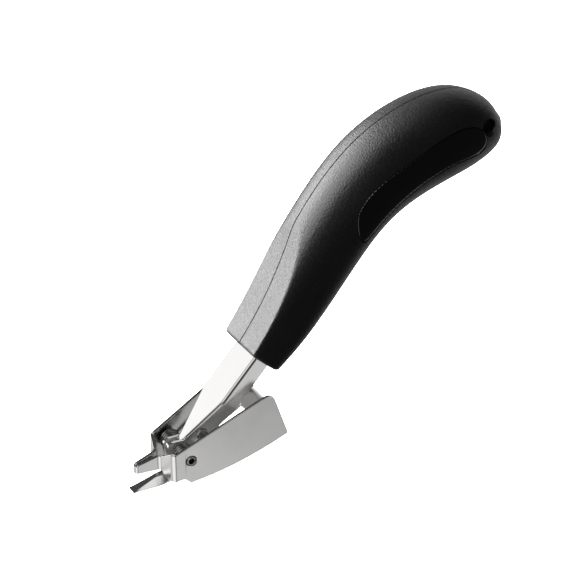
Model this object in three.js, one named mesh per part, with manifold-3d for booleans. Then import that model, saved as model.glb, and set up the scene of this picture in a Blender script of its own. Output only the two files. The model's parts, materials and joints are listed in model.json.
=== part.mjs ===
// A lever staple remover: a steel lever in a two-shell plastic handle, hinged in a folded steel shoe.
// Millimetres. +X runs from the jaws to the tail of the handle, +Y is the tool's right side, +Z is up.
// The tool lies as it rests on a table, on the heel of the shoe and the tail of the handle.
// Two frames are used below, both with their origin on the pivot axis:
//   the lever frame, where +X runs along the shaft and +Z leaves its flat top face;
//   the sole frame, where +X runs to the heel and the underside of the lower jaw is level.
import * as THREE from "three";
import { mergeVertices } from "three/addons/utils/BufferGeometryUtils.js";
import Module from "manifold-3d";

const wasm = await Module();
wasm.setup();

// ---- driving dimensions ----
const GAP = 0.3; // between pieces that touch
const DEGREE = Math.PI / 180;
const OPEN_ANGLE = 47.3 * DEGREE; // of the shaft above the sole, jaws open

const PIN_RADIUS = 2;
const PIN_BORE = 1.2;
const PIN_SLIT = 0.7;
const PIN_HALF_LENGTH = 11.35;
const PIN_HOLE = PIN_RADIUS + 0.15;

const SHEET = 1.4; // shoe steel
const SHOE_HALF_WIDTH = 10.2; // outside, at the front bends
const SHOE_SPLAY = Math.tan(7 * DEGREE); // each side plate leans out towards the heel
const SHOE_FRONT = -7.1; // outer face of the shoulders
const SHOE_REAR = 40;
const BEAK_NOSE = -18.5;
const BEAK_TOP = -2.2;
const BEAK_BOTTOM = -5.6;
const BEAK_HALF_WIDTH = 1.5;
const BEAK_ROOT = -8.9;
const BEAK_ROOT_HALF_WIDTH = 2.5;
const ARCH_HALF_WIDTH = 3.6; // opening under the beak for the lower jaw
const HEEL = [37.8, 3.4];
const WEB_FRONT = 33; // cross web of the heel
const WEB_BOTTOM = 1.8;
const WEB_TOP = 14;
const WEB_NOTCH = 10.3; // floor of the notches that the spring's legs lie in

const CHANNEL_STEEL = 1.5;
const CHANNEL_HALF_WIDTH = 8;
const CHANNEL_TOP = 2;
const CHANNEL_BOTTOM = -5;
const CHANNEL_BEND = 2;
const NECK_HALF_WIDTH = 2.6;
const NECK_START = 2.4; // of the channel: the cheeks run on in front of it
const NECK_END = 5; // the channel widens from here
const TAPER_END = 24; // to here
const TANG_END = 99;
const STOP = SHOE_FRONT + SHEET + GAP; // the neck meets the shoulders here when the jaws are open

const JAW_TIP = [-20.1, -12.8];
const JAW_HALF_WIDTH = 2.4;
const TANG_HALF_WIDTH = 0.8;
const RIVET_AT = [9.6, -1.6];
const RIVET_RADIUS = 1.3;

const WIRE_RADIUS = 0.6;
const COIL_RADIUS = 3.4;
const COIL_START = 3.5; // distance of the innermost turn from the middle
const COIL_PITCH = 1.22;
const COIL_TURNS = 4; // up to where the outer leg leaves, counted from the sole's +X

const BRIDGE_START = OPEN_ANGLE - 110 * DEGREE; // where the wire leaves the coil for the bridge
const OUTER_END = -COIL_TURNS * 2 * Math.PI;
const LEG_Y = COIL_START + ((BRIDGE_START - OUTER_END) / (2 * Math.PI)) * COIL_PITCH;

const WALL = 2.4;
const HANDLE_FRONT = 45;
const SCREW_RADIUS = 1.25;
const SCREW_HEAD_RADIUS = 2.75;
const SCREW_HEAD_HEIGHT = 1.8;
const BOSS_RADIUS = 2.4;
const HEAD_POCKET_RADIUS = SCREW_HEAD_RADIUS + GAP;
const HEAD_POCKET_WALL = 1.2;
const SCREWS = [
  { name: "front_screw", at: [57, -1.5], seat: 9.2 },
  { name: "middle_screw", at: [90, -1.5], seat: 9.4 },
  { name: "rear_screw", at: [139, -5], seat: 8.4 },
];
const HANG_HOLE = [165, -20.5];
const HANG_RADIUS = 2.5;
const INLAY_DEPTH = 1.2; // of the pocket that each grip inlay lies in
const INLAY_RECESS = 0.3;

// The handle's middle plane, in the lever frame: a point on its back, the point across from it on
// its belly, half the width there, and how square its upper and lower halves are (2 is an ellipse).
const HANDLE_STATIONS = [
  { back: [45, 8.4], belly: [45, -9.8], half: 12.1, upper: 5, lower: 4 },
  { back: [62, 11.6], belly: [60, -12.2], half: 12.5, upper: 4.4, lower: 3.4 },
  { back: [80, 15.6], belly: [77, -12.8], half: 12.9, upper: 3.4, lower: 2.9 },
  { back: [96, 18.6], belly: [93, -12.3], half: 13.4, upper: 2.7, lower: 2.6 },
  { back: [112, 19.9], belly: [107, -12.3], half: 14, upper: 2.5, lower: 2.4 },
  { back: [128, 18.8], belly: [119, -14.2], half: 14.7, upper: 2.5, lower: 2.3 },
  { back: [143.6, 14.3], belly: [130, -18.9], half: 15.1, upper: 2.5, lower: 2.2 },
  { back: [157.6, 6.5], belly: [140, -24.6], half: 15, upper: 2.5, lower: 2.2 },
  { back: [167.6, -3.2], belly: [148.5, -30], half: 13.9, upper: 2.4, lower: 2.1 },
  { back: [172, -13], belly: [156, -33.6], half: 11.6, upper: 2.2, lower: 2 },
  { back: [172.6, -20.6], belly: [162, -34.4], half: 8.2, upper: 2, lower: 2 },
  { back: [171, -26.8], belly: [167.2, -32], half: 3.6, upper: 2, lower: 2 },
];
const RING_POINTS = 28;
const RING_COUNT = 24;
const ARRIS = 0.7; // how softly the thumb facet meets the sides

// The grip inlay's outline in the lever frame.
const INLAY_OUTLINE = [
  [103.2, -3.6], [105.6, 3.2], [112, 7.6], [122.5, 7.4], [134.2, 3.4], [146.4, -1.6], [156.4, -7.4],
  [161.8, -15.5], [160, -22.8], [154.2, -23], [147, -16.6], [136.2, -10.3], [124.8, -6.6], [113, -4.9],
];

// ---- materials ----
const steel = new THREE.MeshStandardMaterial({ color: 0xc9c9c7, roughness: 0.25, metalness: 1 });
const springSteel = new THREE.MeshStandardMaterial({ color: 0x8c8c8c, roughness: 0.3, metalness: 1 });
const blackPlastic = new THREE.MeshStandardMaterial({ color: 0x1a1a1a, roughness: 0.6, metalness: 0 });
const glossPlastic = new THREE.MeshStandardMaterial({ color: 0x050505, roughness: 0.15, metalness: 0 });
const zincSteel = new THREE.MeshStandardMaterial({ color: 0xa8a8a0, roughness: 0.4, metalness: 1 });

// ---- solids ----
function solid(geometry) {
  const bare = new THREE.BufferGeometry();
  bare.setAttribute("position", geometry.getAttribute("position"));
  bare.setIndex(geometry.getIndex());
  const merged = mergeVertices(bare, 1e-4);
  return new wasm.Manifold(
    new wasm.Mesh({
      numProp: 3,
      vertProperties: merged.attributes.position.array,
      triVerts: new Uint32Array(merged.index.array),
    }),
  );
}

function piece(name, body, material) {
  const made = body.getMesh();
  const geometry = new THREE.BufferGeometry();
  geometry.setAttribute("position", new THREE.BufferAttribute(made.vertProperties, 3));
  geometry.setIndex(new THREE.BufferAttribute(made.triVerts, 1));
  geometry.computeVertexNormals();
  const mesh = new THREE.Mesh(geometry, material.clone());
  mesh.name = name;
  return mesh;
}

// A closed outline through points [a, b, radius], each corner rounded by its radius.
function outline(points) {
  const shape = new THREE.Shape();
  points.forEach(([a, b, radius = 0], i) => {
    const corner = new THREE.Vector2(a, b);
    const before = new THREE.Vector2(...points.at(i - 1).slice(0, 2)).sub(corner).normalize();
    const after = new THREE.Vector2(...points[(i + 1) % points.length].slice(0, 2)).sub(corner).normalize();
    const reach = radius / Math.tan(Math.acos(before.dot(after)) / 2);
    const start = corner.clone().addScaledVector(before, reach);
    const end = corner.clone().addScaledVector(after, reach);
    if (i === 0) shape.moveTo(start.x, start.y);
    else shape.lineTo(start.x, start.y);
    if (radius > 0) shape.quadraticCurveTo(corner.x, corner.y, end.x, end.y);
  });
  shape.closePath();
  return shape;
}

// A side outline (x, z) made into a slab from y0 to y1.
function slab(shape, y0, y1, curveSegments = 5) {
  const geometry = new THREE.ExtrudeGeometry(shape, { depth: y1 - y0, bevelEnabled: false, curveSegments });
  geometry.rotateX(Math.PI / 2);
  geometry.translate(0, y1, 0);
  return solid(geometry);
}

// A plan outline (x, y) made into a prism from z0 to z1.
function prism(shape, z0, z1, curveSegments = 5) {
  const geometry = new THREE.ExtrudeGeometry(shape, { depth: z1 - z0, bevelEnabled: false, curveSegments });
  geometry.translate(0, 0, z0);
  return solid(geometry);
}

function box(x0, x1, y0, y1, z0, z1) {
  const geometry = new THREE.BoxGeometry(x1 - x0, y1 - y0, z1 - z0);
  geometry.translate((x0 + x1) / 2, (y0 + y1) / 2, (z0 + z1) / 2);
  return solid(geometry);
}

// A bar turned about an axis along Y at (x, z), through points [radius, y].
function turned(x, z, profile, segments = 24) {
  const points = profile.map(([radius, y]) => new THREE.Vector2(radius, y));
  const geometry = new THREE.LatheGeometry(points, segments);
  geometry.translate(x, 0, z);
  return solid(geometry);
}

function bar(x, z, radius, y0, y1, segments = 24) {
  return turned(x, z, [[0, y0], [radius, y0], [radius, y1], [0, y1]], segments);
}

// A solid skinned over rings of equal length, each a list of Vector3 running the same way round.
function skin(rings) {
  const flat = rings[0].map((p) => new THREE.Vector2(p.y, p.z));
  if (THREE.ShapeUtils.isClockWise(flat)) return skin(rings.map((ring) => [...ring].reverse()));
  const count = rings[0].length;
  const positions = rings.flat().flatMap((p) => [p.x, p.y, p.z]);
  const index = [];
  for (let r = 0; r + 1 < rings.length; r++) {
    for (let i = 0; i < count; i++) {
      const j = (i + 1) % count;
      const [a, b, c, d] = [r * count + i, r * count + j, (r + 1) * count + j, (r + 1) * count + i];
      index.push(a, b, c, a, c, d);
    }
  }
  const last = (rings.length - 1) * count;
  THREE.ShapeUtils.triangulateShape(flat, []).forEach(([a, b, c]) => {
    index.push(a, c, b, last + a, last + b, last + c);
  });
  const geometry = new THREE.BufferGeometry();
  geometry.setAttribute("position", new THREE.Float32BufferAttribute(positions, 3));
  geometry.setIndex(index);
  const body = solid(geometry);
  if (body.volume() > 0) return body;
  geometry.setIndex(index.reverse());
  return solid(geometry);
}

// ---- shoe: one folded sheet with a pinched beak, two splayed side plates and a heel web ----
function shoePlan(side) {
  const rearHalf = SHOE_HALF_WIDTH + (SHOE_REAR - SHOE_FRONT) * SHOE_SPLAY;
  const points = [
    [BEAK_NOSE, 0],
    [BEAK_NOSE, side * BEAK_HALF_WIDTH, 1.2],
    [BEAK_ROOT, side * BEAK_ROOT_HALF_WIDTH, 1.2],
    [SHOE_FRONT, side * SHOE_HALF_WIDTH, 1.6],
    [SHOE_REAR, side * rearHalf],
    [SHOE_REAR, side * (rearHalf - SHEET)],
    [SHOE_FRONT + SHEET, side * (SHOE_HALF_WIDTH - SHEET), 0.5],
    [BEAK_ROOT + SHEET, side * (BEAK_ROOT_HALF_WIDTH - 0.6), 1.2],
    [BEAK_NOSE + SHEET, side * 0.15],
    [BEAK_NOSE + SHEET, 0],
  ];
  return outline(side > 0 ? points : points.reverse());
}

function shoeSide() {
  const side = new THREE.Shape();
  side.moveTo(BEAK_NOSE, BEAK_BOTTOM + 1.2);
  side.lineTo(BEAK_NOSE, BEAK_TOP - 0.6);
  side.quadraticCurveTo(BEAK_NOSE, BEAK_TOP, BEAK_NOSE + 0.9, BEAK_TOP + 0.3);
  side.lineTo(BEAK_ROOT, 0.5);
  side.quadraticCurveTo(-8.2, 0.8, -8, 2.2);
  side.quadraticCurveTo(-7.8, 3.8, -5.6, 3.6);
  side.lineTo(27.7, 19.8);
  side.quadraticCurveTo(32.2, 22.2, 33.4, 18.4);
  side.lineTo(...HEEL);
  side.quadraticCurveTo(19.4, -6, 1.2, -9.2);
  side.quadraticCurveTo(-0.6, -9.8, -1.2, -8.8);
  side.quadraticCurveTo(-2, -7.5, -3.6, -7.5);
  side.lineTo(SHOE_FRONT + 1, -8);
  side.lineTo(BEAK_NOSE + 1.2, -8.2);
  side.lineTo(BEAK_NOSE + 1.2, BEAK_BOTTOM);
  side.quadraticCurveTo(BEAK_NOSE, BEAK_BOTTOM, BEAK_NOSE, BEAK_BOTTOM + 1.2);
  return side;
}

// What is cut away under the beak: an arch seen from the front, open downwards.
function archCut() {
  const arch = outline([
    [ARCH_HALF_WIDTH + 2.4, -9],
    [ARCH_HALF_WIDTH, BEAK_BOTTOM, 1],
    [-ARCH_HALF_WIDTH, BEAK_BOTTOM, 1],
    [-ARCH_HALF_WIDTH - 2.4, -9],
  ]);
  const geometry = new THREE.ExtrudeGeometry(arch, { depth: 24, bevelEnabled: false, curveSegments: 3 });
  geometry.rotateX(Math.PI / 2);
  geometry.rotateZ(Math.PI / 2);
  geometry.translate(-28, 0, 0);
  return solid(geometry);
}

function shoe() {
  const band = prism(shoePlan(-1), -14, 26).add(prism(shoePlan(1), -14, 26));
  const webHalf = SHOE_HALF_WIDTH + (WEB_FRONT - SHOE_FRONT) * SHOE_SPLAY - SHEET / 2;
  let web = box(WEB_FRONT, WEB_FRONT + SHEET, -webHalf, webHalf, WEB_BOTTOM, WEB_TOP);
  for (const y of [-LEG_Y, LEG_Y]) {
    web = web.subtract(box(WEB_FRONT - 1, WEB_FRONT + 3, y - 1.2, y + 1.2, WEB_NOTCH, WEB_TOP + 1));
  }
  const pinHole = bar(0, 0, PIN_HOLE, -20, 20);
  return band.intersect(slab(shoeSide(), -20, 20)).add(web).subtract(archCut()).subtract(pinHole);
}

// ---- pivot pin: a slit spring tube ----
function pivotPin() {
  const tube = bar(0, 0, PIN_RADIUS, -PIN_HALF_LENGTH, PIN_HALF_LENGTH);
  const bore = bar(0, 0, PIN_BORE, -PIN_HALF_LENGTH - 1, PIN_HALF_LENGTH + 1);
  const slit = box(0, 4, -PIN_HALF_LENGTH - 1, PIN_HALF_LENGTH + 1, -PIN_SLIT / 2, PIN_SLIT / 2);
  return tube.subtract(bore).subtract(slit);
}

// ---- lever: a channel whose walls close into a narrow neck around the jaw's tang ----
function toSole([x, z]) {
  const [c, s] = [Math.cos(OPEN_ANGLE), Math.sin(OPEN_ANGLE)];
  return [x * c - z * s, x * s + z * c];
}

function quarter(side, half, top, radius) {
  return [0, 1, 2, 3, 4].map((i) => {
    const angle = (i / 4) * (Math.PI / 2);
    return [side * (half - radius + radius * Math.cos(angle)), top - radius + radius * Math.sin(angle)];
  });
}

function channelRing(x, half) {
  const inner = half - CHANNEL_STEEL;
  const innerTop = CHANNEL_TOP - CHANNEL_STEEL;
  const ring = [
    [-half, CHANNEL_BOTTOM],
    ...quarter(-1, half, CHANNEL_TOP, CHANNEL_BEND),
    ...quarter(1, half, CHANNEL_TOP, CHANNEL_BEND).reverse(),
    [half, CHANNEL_BOTTOM],
    [inner, CHANNEL_BOTTOM],
    ...quarter(1, inner, innerTop, 0.5),
    ...quarter(-1, inner, innerTop, 0.5).reverse(),
    [-inner, CHANNEL_BOTTOM],
  ];
  return ring.map(([y, z]) => new THREE.Vector3(x, y, z));
}

// The neck's cheeks, in the sole frame.
const CHEEK_OUTLINE = [
  [STOP, 3.2, 1.2],
  [STOP, 0.2, 0.5],
  [-4.1, -5.6, 0.6],
  [-0.8, -7.2, 1.5],
  [4.4, -3.4, 1.5],
  toSole([5.5, CHANNEL_BOTTOM]),
  toSole([5.5, CHANNEL_TOP - CHANNEL_BEND]),
  [-3.6, 4.2, 0.8],
];

function leverShaft() {
  const cheek = outline(CHEEK_OUTLINE);
  const inner = NECK_HALF_WIDTH - CHANNEL_STEEL;
  let cheeks = slab(cheek, -NECK_HALF_WIDTH, -inner).add(slab(cheek, inner, NECK_HALF_WIDTH));
  cheeks = cheeks.rotate([0, OPEN_ANGLE / DEGREE, 0]);
  let body = skin([
    channelRing(NECK_START, NECK_HALF_WIDTH),
    channelRing(NECK_END, NECK_HALF_WIDTH),
    channelRing(TAPER_END, CHANNEL_HALF_WIDTH),
    channelRing(TANG_END, CHANNEL_HALF_WIDTH),
  ]);
  body = body.add(cheeks).subtract(bar(0, 0, PIN_HOLE, -20, 20));
  body = body.subtract(bar(...RIVET_AT, RIVET_RADIUS + GAP, -20, 20, 16));
  SCREWS.filter(({ at }) => at[0] < TANG_END).forEach(({ at }) => {
    body = body.subtract(bar(...at, BOSS_RADIUS + GAP, -20, 20));
  });
  return body;
}

// ---- lower jaw, in the sole frame: a wedge on a flat tang between the lever's cheeks ----
function lowerJaw() {
  const [tipX, sole] = JAW_TIP;
  const wedge = outline([
    [tipX, sole],
    [-5.7, sole, 3],
    [-0.9, -10.7, 2],
    [1.2, -7.9, 0.6],
    [-1, -7.7],
    [-4, -6.4],
    [-5.2, -8.3, 1.4],
    [-10.4, -9.1],
    [tipX, sole + 0.3],
  ]);
  const tangTop = CHANNEL_TOP - CHANNEL_STEEL - GAP;
  const tang = outline([
    [STOP + 0.5, 3.2, 1],
    [STOP + 0.5, 0.2],
    [-3.6, -7.9],
    [-0.5, -8],
    [4, -3.4, 1],
    toSole([13, CHANNEL_BOTTOM + 0.6]),
    toSole([13, tangTop]),
    toSole([NECK_START - 0.4, tangTop]),
    toSole([NECK_START - 0.4, 3.2]),
  ]);
  const rivetAt = toSole(RIVET_AT);
  return slab(wedge, -JAW_HALF_WIDTH, JAW_HALF_WIDTH)
    .add(slab(tang, -TANG_HALF_WIDTH, TANG_HALF_WIDTH))
    .subtract(bar(0, 0, PIN_HOLE, -5, 5))
    .subtract(bar(...rivetAt, RIVET_RADIUS + GAP, -5, 5, 16));
}

// A rivet through the tang and both walls of the taper, with a low domed head at each end.
function jawRivet() {
  const inner = 4.9;
  const outer = 5.7;
  return turned(...RIVET_AT, [
    [0, -outer], [1.4, -outer], [2.1, -inner], [RIVET_RADIUS, -inner],
    [RIVET_RADIUS, inner], [2.1, inner], [1.4, outer], [0, outer],
  ], 16);
}

// ---- return spring, in the sole frame: a double torsion spring on the pivot pin ----
// Its two outer legs lie on the heel web, and the bridge between its coils lifts the shaft.
function returnSpring() {
  const steps = 48;
  const half = (side) => {
    const points = [
      [36, side * LEG_Y, 12.8],
      [20, side * LEG_Y, 5.5],
      [7, side * LEG_Y, -0.4],
      [4.4, side * LEG_Y, -1.6],
    ];
    for (let i = 0; i <= steps; i++) {
      const angle = OUTER_END + (i / steps) * (BRIDGE_START - OUTER_END);
      const y = COIL_START + ((BRIDGE_START - angle) / (2 * Math.PI)) * COIL_PITCH;
      points.push([COIL_RADIUS * Math.cos(angle), side * y, COIL_RADIUS * Math.sin(angle)]);
    }
    const bearing = CHANNEL_BOTTOM - WIRE_RADIUS - GAP;
    const [legX, legZ] = toSole([6.5, bearing - GAP]);
    const [bendX, bendZ] = toSole([14, bearing]);
    const [bridgeX, bridgeZ] = toSole([15.4, bearing]);
    points.push([legX, side * COIL_START, legZ]);
    points.push([bendX, side * COIL_START, bendZ]);
    points.push([bridgeX, side * (COIL_START - 1.2), bridgeZ]);
    return points.map((p) => new THREE.Vector3(...p));
  };
  const path = new THREE.CatmullRomCurve3([...half(-1), ...half(1).reverse()], false, "centripetal");
  const section = new THREE.Shape();
  section.absarc(0, 0, WIRE_RADIUS, 0, 2 * Math.PI);
  return solid(
    new THREE.ExtrudeGeometry(section, { steps: 140, curveSegments: 3, extrudePath: path }),
  );
}

// ---- handle ----
function stationCurve(pick) {
  return new THREE.CatmullRomCurve3(HANDLE_STATIONS.map((station) => new THREE.Vector3(...pick(station))));
}
const backCurve = stationCurve(({ back }) => [...back, 0]);
const bellyCurve = stationCurve(({ belly }) => [...belly, 0]);
const sectionCurve = stationCurve(({ half, upper, lower }) => [half, upper, lower]);

// Height of the thumb facet, a shallow scoop in the back of the handle behind its front edge.
function thumbFacet(x) {
  const along = x - HANDLE_FRONT;
  return 6.2 + 0.085 * along + 0.0035 * along * along;
}

function softMin(a, b, softness) {
  const blend = Math.max(softness - Math.abs(a - b), 0) / softness;
  return Math.min(a, b) - (blend * blend * softness) / 4;
}

function power(value, exponent) {
  return Math.sign(value) * Math.abs(value) ** exponent;
}

// One ring of the handle's surface, drawn in by inset.
function handleRing(t, inset) {
  const back = backCurve.getPoint(t);
  const belly = bellyCurve.getPoint(t);
  const { x: half, y: upper, z: lower } = sectionCurve.getPoint(t);
  const centre = back.clone().add(belly).divideScalar(2);
  const up = back.clone().sub(belly).normalize();
  const height = back.distanceTo(belly) / 2 - inset;
  return Array.from({ length: RING_POINTS }, (_, i) => {
    const angle = (i / RING_POINTS) * 2 * Math.PI;
    const squareness = 2 / (Math.sin(angle) > 0 ? upper : lower);
    const across = (half - inset) * power(Math.cos(angle), squareness);
    const rise = height * power(Math.sin(angle), squareness);
    const x = centre.x + up.x * rise;
    const z = centre.y + up.y * rise;
    return new THREE.Vector3(x, across, softMin(z, thumbFacet(x) - inset, ARRIS));
  });
}

function handleSolid(inset, first = 0, last = 1, count = RING_COUNT) {
  const rings = Array.from({ length: count + 1 }, (_, i) => handleRing(first + (last - first) * (i / count), inset));
  return skin(rings);
}

function inlayPrism(grow, y0, y1) {
  const curve = new THREE.CatmullRomCurve3(INLAY_OUTLINE.map(([x, z]) => new THREE.Vector3(x, z, 0)), true);
  const count = 44;
  const points = Array.from({ length: count }, (_, i) => {
    const at = curve.getPoint(i / count);
    const tangent = curve.getTangent(i / count);
    return new THREE.Vector2(at.x - tangent.y * grow, at.y + tangent.x * grow);
  });
  return slab(new THREE.Shape(points), y0, y1);
}

const handleOuter = handleSolid(0);
const handleCavity = handleSolid(WALL, 0.035, 0.86, 16);
const pocketFloor = handleSolid(INLAY_DEPTH);
const inlayFace = handleSolid(INLAY_RECESS);
const inlayBack = handleSolid(INLAY_DEPTH - GAP);

// side is -1 for the left shell, which holds the screws, and 1 for the right one, which has their heads.
function handleShell(side) {
  const reach = 30;
  const keep = side < 0 ? box(0, 200, -reach, -GAP / 2, -60, 40) : box(0, 200, GAP / 2, reach, -60, 40);
  const edges = (near, far) => (side < 0 ? [-far, -near] : [near, far]);
  let body = handleOuter.subtract(handleCavity);
  const port = CHANNEL_HALF_WIDTH + GAP;
  body = body.subtract(box(HANDLE_FRONT - 1, TANG_END, -port, port, CHANNEL_BOTTOM - GAP, CHANNEL_TOP + GAP));
  SCREWS.forEach(({ at, seat }) => {
    const collar = side > 0 ? HEAD_POCKET_RADIUS + HEAD_POCKET_WALL : BOSS_RADIUS;
    const post = bar(...at, BOSS_RADIUS, ...edges(0, reach)).add(bar(...at, collar, ...edges(seat - 0.8, reach)));
    body = body.add(post.intersect(handleOuter));
  });
  body = body.add(bar(...HANG_HOLE, HANG_RADIUS + 1.6, ...edges(0, reach)).intersect(handleOuter));
  body = body.intersect(keep);
  body = body.subtract(inlayPrism(0, ...edges(4, reach)).subtract(pocketFloor));
  SCREWS.forEach(({ at, seat }) => {
    if (side < 0) {
      body = body.subtract(bar(...at, SCREW_RADIUS + 0.2, -8.5, 1, 16));
    } else {
      body = body.subtract(bar(...at, SCREW_RADIUS + GAP, -1, reach, 16));
      body = body.subtract(bar(...at, HEAD_POCKET_RADIUS, seat, reach));
    }
  });
  return body.subtract(bar(...HANG_HOLE, HANG_RADIUS, -reach, reach));
}

function gripInlay(side) {
  const [y0, y1] = side < 0 ? [-30, -4] : [4, 30];
  return inlayPrism(-GAP, y0, y1).intersect(inlayFace).subtract(inlayBack);
}

function screw({ at, seat }) {
  const under = seat + GAP;
  return turned(...at, [
    [0, -7.6], [SCREW_RADIUS - 0.5, -7.6], [SCREW_RADIUS, -6.6], [SCREW_RADIUS, under],
    [SCREW_HEAD_RADIUS, under], [SCREW_HEAD_RADIUS - 0.5, under + SCREW_HEAD_HEIGHT - 0.3],
    [SCREW_HEAD_RADIUS - 1.2, under + SCREW_HEAD_HEIGHT], [0, under + SCREW_HEAD_HEIGHT],
  ]);
}

// ---- assembly ----
const lever = new THREE.Group();
lever.add(
  piece("left_handle_shell", handleShell(-1), blackPlastic),
  piece("right_handle_shell", handleShell(1), blackPlastic),
  piece("left_grip_inlay", gripInlay(-1), glossPlastic),
  piece("right_grip_inlay", gripInlay(1), glossPlastic),
  piece("lever_shaft", leverShaft(), steel),
  piece("jaw_rivet", jawRivet(), zincSteel),
  piece("pivot_pin", pivotPin(), zincSteel),
  ...SCREWS.map((each) => piece(each.name, screw(each), zincSteel)),
);

// Everything drawn in the sole frame turns down from the shaft by the open angle.
const sole = new THREE.Group();
sole.rotation.y = OPEN_ANGLE;
sole.add(
  piece("shoe", shoe(), steel),
  piece("lower_jaw", lowerJaw(), steel),
  piece("return_spring", returnSpring(), springSteel),
);

const tool = new THREE.Group();
tool.add(lever, sole);

// The tool tips until the heel and the handle's tail stand on the same level, and is then set down.
function restTilt() {
  const [heelX, heelZ] = [
    HEEL[0] * Math.cos(OPEN_ANGLE) + HEEL[1] * Math.sin(OPEN_ANGLE),
    HEEL[1] * Math.cos(OPEN_ANGLE) - HEEL[0] * Math.sin(OPEN_ANGLE),
  ];
  const slopes = Array.from({ length: 200 }, (_, i) => bellyCurve.getPoint(0.5 + i / 400))
    .map((point) => Math.atan2(point.y - heelZ, point.x - heelX));
  return -Math.min(...slopes);
}
tool.rotation.y = -restTilt();

const group = new THREE.Group();
group.add(tool);
group.updateMatrixWorld(true);
const bounds = new THREE.Box3().setFromObject(group, true);
tool.position.set(-(bounds.min.x + bounds.max.x) / 2, 0, -bounds.min.z);

export default group;
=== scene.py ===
"""A lever staple remover in studio light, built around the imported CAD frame.

Pieces are modelled in millimetres in one of two frames whose origin is the pivot: the lever frame
(X along the shaft, Z out of its flat top) and the sole frame (X to the heel, the sole level).
settle() then places them in the row's frame, in metres.
"""
import json
import math

import bmesh
import bpy
import numpy as np
from mathutils import Matrix, Vector

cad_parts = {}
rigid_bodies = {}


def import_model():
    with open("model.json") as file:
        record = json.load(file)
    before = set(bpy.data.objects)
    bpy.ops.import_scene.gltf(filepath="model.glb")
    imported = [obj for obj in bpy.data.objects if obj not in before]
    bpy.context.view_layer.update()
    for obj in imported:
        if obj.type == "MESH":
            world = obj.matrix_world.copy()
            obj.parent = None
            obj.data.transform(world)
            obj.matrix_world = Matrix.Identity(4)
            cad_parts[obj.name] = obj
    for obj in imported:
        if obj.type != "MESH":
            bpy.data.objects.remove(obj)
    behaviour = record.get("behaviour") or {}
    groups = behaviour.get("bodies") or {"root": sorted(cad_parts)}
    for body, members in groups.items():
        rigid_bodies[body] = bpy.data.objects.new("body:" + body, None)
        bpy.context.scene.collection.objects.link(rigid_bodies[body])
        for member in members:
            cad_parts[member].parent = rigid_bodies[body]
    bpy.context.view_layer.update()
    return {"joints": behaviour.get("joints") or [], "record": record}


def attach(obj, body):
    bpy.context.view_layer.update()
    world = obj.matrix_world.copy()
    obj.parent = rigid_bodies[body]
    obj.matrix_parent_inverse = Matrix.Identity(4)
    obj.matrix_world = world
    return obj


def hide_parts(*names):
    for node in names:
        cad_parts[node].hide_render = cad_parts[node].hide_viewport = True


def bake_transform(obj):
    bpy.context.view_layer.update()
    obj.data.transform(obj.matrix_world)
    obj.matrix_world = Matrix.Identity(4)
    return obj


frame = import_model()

# ---- frames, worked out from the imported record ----
MM = 0.001
OPEN_ANGLE = math.radians(47.3)  # of the shaft above the sole, jaws open
PIVOT = Vector(frame["joints"][0]["pos_m"])
SOLE_UP = -Vector(frame["record"]["mounts"][0]["axis"])


def local_frame(up):
    along = Vector((up.z, 0, -up.x))
    turn = Matrix((along, Vector((0, 1, 0)), up)).transposed()
    return Matrix.Translation(PIVOT) @ turn.to_4x4() @ Matrix.Scale(MM, 4)


SOLE = local_frame(SOLE_UP)
LEVER = local_frame(Matrix.Rotation(-OPEN_ANGLE, 3, "Y") @ SOLE_UP)

# ---- driving dimensions, in millimetres ----
SHEET = 1.4
PIN_RADIUS, PIN_BORE, PIN_SLIT, PIN_HALF = 2.0, 1.2, 0.7, 11.35
SHOE_HALF, SHOE_SPLAY = 10.2, math.tan(math.radians(7))
SHOE_FRONT, BEAK_ROOT, BEAK_NOSE = -7.1, -8.9, -18.5
BEAK_TOP, BEAK_BOTTOM, BEAK_SLOT_HALF = -2.2, -5.6, 0.45
HEEL = (37.8, 3.4)
WEB_X, WEB_LOW, WEB_HIGH, WEB_NOTCH = 33.0, 1.8, 14.0, 10.3
STEEL = 1.5
SHAFT_HALF, SHAFT_TOP, SHAFT_LOW, SHAFT_BEND = 8.0, 2.0, -5.0, 1.3
NECK_HALF, NECK_START, NECK_END, TAPER_END, TANG_END = 2.6, 2.4, 5.0, 24.0, 99.0
JAW_TIP, JAW_SOLE, JAW_HALF = -20.1, -12.8, 2.4
RIVET_AT, RIVET_RADIUS = (9.6, -1.6), 1.3
WIRE, COIL_RADIUS, COIL_START, COIL_PITCH, COIL_TURNS = 0.6, 3.4, 3.5, 1.22, 4
BRIDGE_START = OPEN_ANGLE - math.radians(110)
OUTER_END = -COIL_TURNS * 2 * math.pi
LEG_Y = COIL_START + (BRIDGE_START - OUTER_END) / (2 * math.pi) * COIL_PITCH
WALL, FRONT = 2.2, 45.0
PORT_HALF, PORT_TOP, PORT_LOW = 8.3, 2.3, -5.3
HANG_HOLE, HANG_RADIUS = (165.0, -20.5), 2.5
SCREWS = {  # place in the lever frame, and how far out the head's seat is
    "front_screw": ((57, -1.5), 9.2),
    "middle_screw": ((90, -1.5), 9.4),
    "rear_screw": ((139, -5), 8.4),
}
SCREW_RADIUS, HEAD_RADIUS, HEAD_HEIGHT, HEAD_GAP = 1.25, 2.75, 1.8, 0.3
SEAM_HALF, SEAM_EDGE = 0.15, 0.4
ARRIS = 0.7
HOLE_CLEARANCE = 0.12

# ---- how finely the handle is divided ----
RING_SAMPLES, RING_COLS = 721, 92
SEAM_STEPS = np.array([0, 0.1, 0.22, 0.36, 0.55, 0.8])
BODY_ROWS, FRONT_ROWS, TAIL_ROWS, INNER_ROWS = 170, 8, 8, 30

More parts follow.
